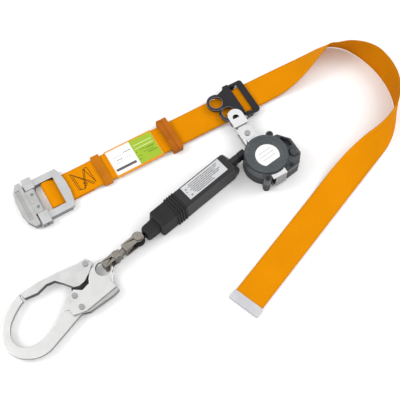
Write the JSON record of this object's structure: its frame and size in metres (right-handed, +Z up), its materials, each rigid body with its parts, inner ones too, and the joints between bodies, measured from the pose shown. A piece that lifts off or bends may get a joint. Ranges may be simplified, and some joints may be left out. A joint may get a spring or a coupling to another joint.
{
  "type": "self retracting lifeline on a work positioning belt",
  "caption": "Waist belt with lever buckle and D-ring plate carrying a self-retracting webbing lifeline with shock absorber, swivel and large double-action hook.",
  "frame": {"origin": "middle of the whole set's base as it lies on a table", "axes": "+X along the straight half of the belt from the buckle to the D-ring plate, +Y away from the lifeline, +Z up from the table"},
  "size_m": [0.7678, 0.3814, 0.0511],
  "materials": {
    "webbing_orange": "woven",
    "tip_steel": "bright",
    "sleeve_clear": "glossy film over webbing",
    "label_white": "printed film",
    "label_green": "printed film",
    "buckle_silver": "satin",
    "steel_pin": "satin",
    "keeper_brown": "matt",
    "black_steel": "gloss black",
    "bright_steel": "bright plated",
    "frame_steel": "satin",
    "housing_grey": "satin slate grey",
    "reel_label": "printed film",
    "spring_steel": "satin",
    "bronze": "bronze bearing",
    "drum_alloy": "satin",
    "webbing_black": "woven",
    "cover_black": "satin black",
    "boot_black": "ribbed rubber",
    "absorber_label": "printed film",
    "nickel": "nickel plated",
    "hook_silver": "satin",
    "gate_silver": "satin"
  },
  "bodies": {
    "belt": {"belt_webbing": "webbing_orange", "belt_fold": "webbing_orange", "belt_tip": "tip_steel", "label_sleeve": "sleeve_clear", "label_white": "label_white", "label_green": "label_green", "buckle_frame": "buckle_silver", "buckle_crossbar": "steel_pin", "lever_pin": "steel_pin"},
    "keeper_1": {"keeper_1": "keeper_brown"},
    "keeper_2": {"keeper_2": "keeper_brown"},
    "buckle_lever": {"buckle_lever": "buckle_silver"},
    "d_ring": {"d_ring_plate": "black_steel"},
    "connector": {"connector_hook": "bright_steel", "connector_bolt": "bright_steel"},
    "reel": {"load_frame": "frame_steel", "hanger_rivet": "bright_steel", "rear_housing": "housing_grey", "front_housing": "housing_grey", "housing_screws": "steel_pin", "front_cover": "housing_grey", "reel_label": "reel_label", "lock_cap": "housing_grey", "webbing_guide": "housing_grey", "shaft": "steel_pin", "ratchet_ring": "spring_steel", "spring_case": "housing_grey", "power_spring": "spring_steel"},
    "drum": {"drum_bushes": "bronze", "drum": "drum_alloy", "drum_flange": "drum_alloy", "webbing_roll": "webbing_black", "pawl_pins": "steel_pin"},
    "pawl_1": {"pawl_1": "spring_steel"},
    "pawl_2": {"pawl_2": "spring_steel"},
    "absorber": {"absorber_cover": "cover_black", "absorber_boot": "boot_black", "tear_webbing": "webbing_black", "absorber_label": "absorber_label", "neck_boot": "boot_black", "end_loop": "webbing_black", "end_thimble": "nickel", "lifeline_webbing": "webbing_black"},
    "yoke": {"swivel_yoke": "nickel", "yoke_pin": "nickel"},
    "stem": {"swivel_stem": "nickel"},
    "shackle": {"hook_shackle": "nickel", "shackle_pin": "nickel"},
    "hook": {"hook_body": "hook_silver", "hook_side_plates": "hook_silver", "hook_rivets": "steel_pin", "gate_rivet": "steel_pin", "lever_spring": "spring_steel", "gate_spring": "spring_steel", "gate_buffer": "boot_black"},
    "gate": {"hook_gate": "gate_silver"},
    "safety_lever": {"safety_lever": "hook_silver"}
  },
  "joints": [
    {"name": "keeper_1_slide", "type": "slide", "parent": "belt", "child": "keeper_1", "axis": [1, 0, 0], "range_m": [-0.015, 0.008]},
    {"name": "keeper_2_slide", "type": "slide", "parent": "belt", "child": "keeper_2", "axis": [1, 0, 0], "range_m": [-0.012, 0.04]},
    {"name": "buckle_lever_hinge", "type": "hinge", "parent": "belt", "child": "buckle_lever", "pos_m": [-0.24231, 0.1467, 0.009], "axis": [0, 1, 0], "range_deg": [0, 80]},
    {"name": "d_ring_slide", "type": "slide", "parent": "belt", "child": "d_ring", "axis": [1, 0, 0], "range_m": [-0.02, 0.03]},
    {"name": "connector_swing", "type": "hinge", "parent": "d_ring", "child": "connector", "pos_m": [0.10569, 0.1317, 0.0125], "axis": [0, 0, 1], "range_deg": [-6, 5]},
    {"name": "reel_swing", "type": "hinge", "parent": "connector", "child": "reel", "pos_m": [0.11119, 0.0807, 0.0124], "axis": [0, 0, 1], "range_deg": [-5, 12]},
    {"name": "payout", "type": "slide", "parent": "reel", "child": "absorber", "axis": [-0.9781, -0.2079, 0], "range_m": [0, 1.25], "stiffness_N_per_m": 4, "springref_m": -1, "deforming": ["lifeline_webbing"]},
    {"name": "drum_spin", "type": "hinge", "parent": "reel", "child": "drum", "pos_m": [0.11069, 0.0237, 0.02], "axis": [0, 0, 1], "range_deg": [0, 3600]},
    {"name": "pawl_1_swing", "type": "hinge", "parent": "drum", "child": "pawl_1", "pos_m": [0.12869, 0.0237, 0.032], "axis": [0, 0, -1], "range_deg": [0, 12], "stiffness_Nm_per_rad": 0.002, "springref_deg": -17.19},
    {"name": "pawl_2_swing", "type": "hinge", "parent": "drum", "child": "pawl_2", "pos_m": [0.09269, 0.0237, 0.032], "axis": [0, 0, -1], "range_deg": [0, 12], "stiffness_Nm_per_rad": 0.002, "springref_deg": -17.19},
    {"name": "yoke_swing", "type": "hinge", "parent": "absorber", "child": "yoke", "pos_m": [-0.13289, 0.00667, 0.0125], "axis": [0, 0, -1], "range_deg": [-30, 30]},
    {"name": "stem_spin", "type": "hinge", "parent": "yoke", "child": "stem", "pos_m": [-0.16419, 0.00001, 0.0125], "axis": [0.9781, 0.2079, 0], "continuous": true},
    {"name": "shackle_swing", "type": "hinge", "parent": "stem", "child": "shackle", "pos_m": [-0.1769, -0.00269, 0.0125], "axis": [0, 0, 1], "range_deg": [-30, 30]},
    {"name": "hook_swing", "type": "hinge", "parent": "shackle", "child": "hook", "pos_m": [-0.20331, -0.0083, 0.0085], "axis": [0, 0, -1], "range_deg": [-25, 25]},
    {"name": "gate_swing", "type": "hinge", "parent": "hook", "child": "gate", "pos_m": [-0.22277, 0.01108, 0.0085], "axis": [0, 0, 1], "range_deg": [0, 30], "stiffness_Nm_per_rad": 0.12, "springref_deg": -28.65},
    {"name": "safety_lever_swing", "type": "hinge", "parent": "hook", "child": "safety_lever", "pos_m": [-0.25814, -0.04858, 0.0085], "axis": [0, 0, 1], "range_deg": [0, 8], "stiffness_Nm_per_rad": 0.3, "springref_deg": -17.19, "deforming": ["lever_spring"]}
  ],
  "couplings": [
    {"joint": "drum_spin", "follows": "payout", "rad_per_m": 50.265}
  ]
}
